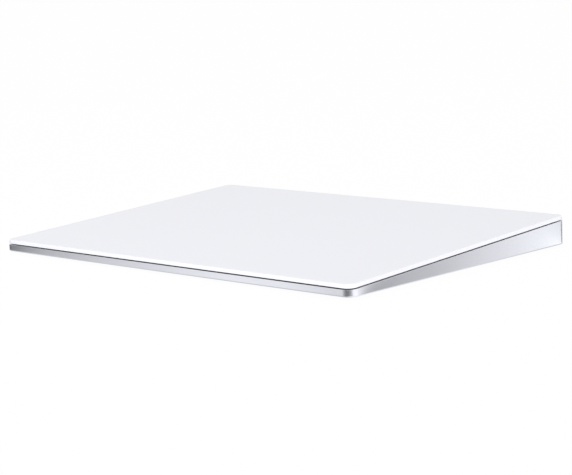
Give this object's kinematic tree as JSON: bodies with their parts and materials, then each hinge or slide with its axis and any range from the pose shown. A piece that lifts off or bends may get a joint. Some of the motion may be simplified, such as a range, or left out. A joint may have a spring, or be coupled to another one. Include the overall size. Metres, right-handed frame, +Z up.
{
  "type": "trackpad",
  "caption": "Wedge-shaped wireless trackpad: aluminium tray under an edge-to-edge white glass plate that presses on sprung beams, with an electromagnet that nudges it and a rear power switch.",
  "frame": {"origin": "on the table under the middle of the trackpad, at the bottom of its feet", "axes": "+X to the user's right, along the long side; +Y to the back, where the trackpad is thick; +Z up"},
  "size_m": [0.16, 0.115, 0.0109],
  "materials": {
    "tray_aluminium": "fine blasted, anodised",
    "white_glass": "white, satin, opaque from the back",
    "foot_rubber": "matte",
    "spring_steel": "rolled",
    "screw_steel": "plated",
    "core_steel": "stacked sheet",
    "coil_copper": "enamelled wire",
    "ribbon_film": "amber film",
    "battery_foil": "dark foil pouch",
    "adhesive_film": "film",
    "circuit_board": "solder mask",
    "chip_black": "moulded",
    "shield_steel": "tinned",
    "connector_ivory": "moulded",
    "socket_steel": "plated",
    "contact_gold": "plated",
    "carrier_grey": "moulded",
    "gel": "soft",
    "slider_aluminium": "fine blasted, anodised",
    "mark_green": "smooth"
  },
  "bodies": {
    "base": {"enclosure": "tray_aluminium", "foot_front_left": "foot_rubber", "foot_front_right": "foot_rubber", "foot_rear_left": "foot_rubber", "foot_rear_right": "foot_rubber", "force_beam_front_left": "spring_steel", "force_beam_front_right": "spring_steel", "force_beam_rear_left": "spring_steel", "force_beam_rear_right": "spring_steel", "strain_gauges": "ribbon_film", "beam_screws": "screw_steel", "actuator_core": "core_steel", "actuator_coils": "coil_copper", "actuator_screws": "screw_steel", "actuator_lead": "ribbon_film", "battery_pack": "battery_foil", "battery_adhesive": "adhesive_film", "battery_lead": "ribbon_film", "logic_board": "circuit_board", "main_controller": "chip_black", "touch_controller": "chip_black", "charge_controller": "chip_black", "haptic_driver": "chip_black", "radio_module": "chip_black", "radio_shield": "shield_steel", "board_connectors": "connector_ivory", "board_screws": "screw_steel", "charging_port_shell": "socket_steel", "charging_port_tongue": "chip_black", "charging_port_contacts": "contact_gold", "switch_body": "chip_black", "antenna_carrier": "carrier_grey", "antenna_foil": "contact_gold", "touch_ribbon": "ribbon_film"},
    "suspension": {"gel_pad_front_left": "gel", "gel_pad_front_right": "gel", "gel_pad_rear_left": "gel", "gel_pad_rear_right": "gel"},
    "touch_plate": {"glass_plate": "white_glass", "bonding_film": "adhesive_film", "touch_sensor_board": "circuit_board", "stiffener_plate": "spring_steel", "armature": "core_steel"},
    "power_slider": {"power_slider": "slider_aluminium", "on_mark": "mark_green", "switch_lever": "connector_ivory"}
  },
  "joints": [
    {"name": "plate_press", "type": "slide", "parent": "base", "child": "suspension", "axis": [0, 0.0521, -0.9986], "range_m": [0, 0.0002], "stiffness_N_per_m": 30000, "springref_m": -0.00005, "deforming": ["force_beam_front_left", "force_beam_front_right", "force_beam_rear_left", "force_beam_rear_right", "touch_ribbon"]},
    {"name": "plate_haptic", "type": "slide", "parent": "suspension", "child": "touch_plate", "axis": [1, 0, 0], "range_m": [-0.00015, 0.00015], "stiffness_N_per_m": 30000, "deforming": ["touch_ribbon"]},
    {"name": "power_slide", "type": "slide", "parent": "base", "child": "power_slider", "axis": [1, 0, 0], "range_m": [0, 0.0022]}
  ]
}
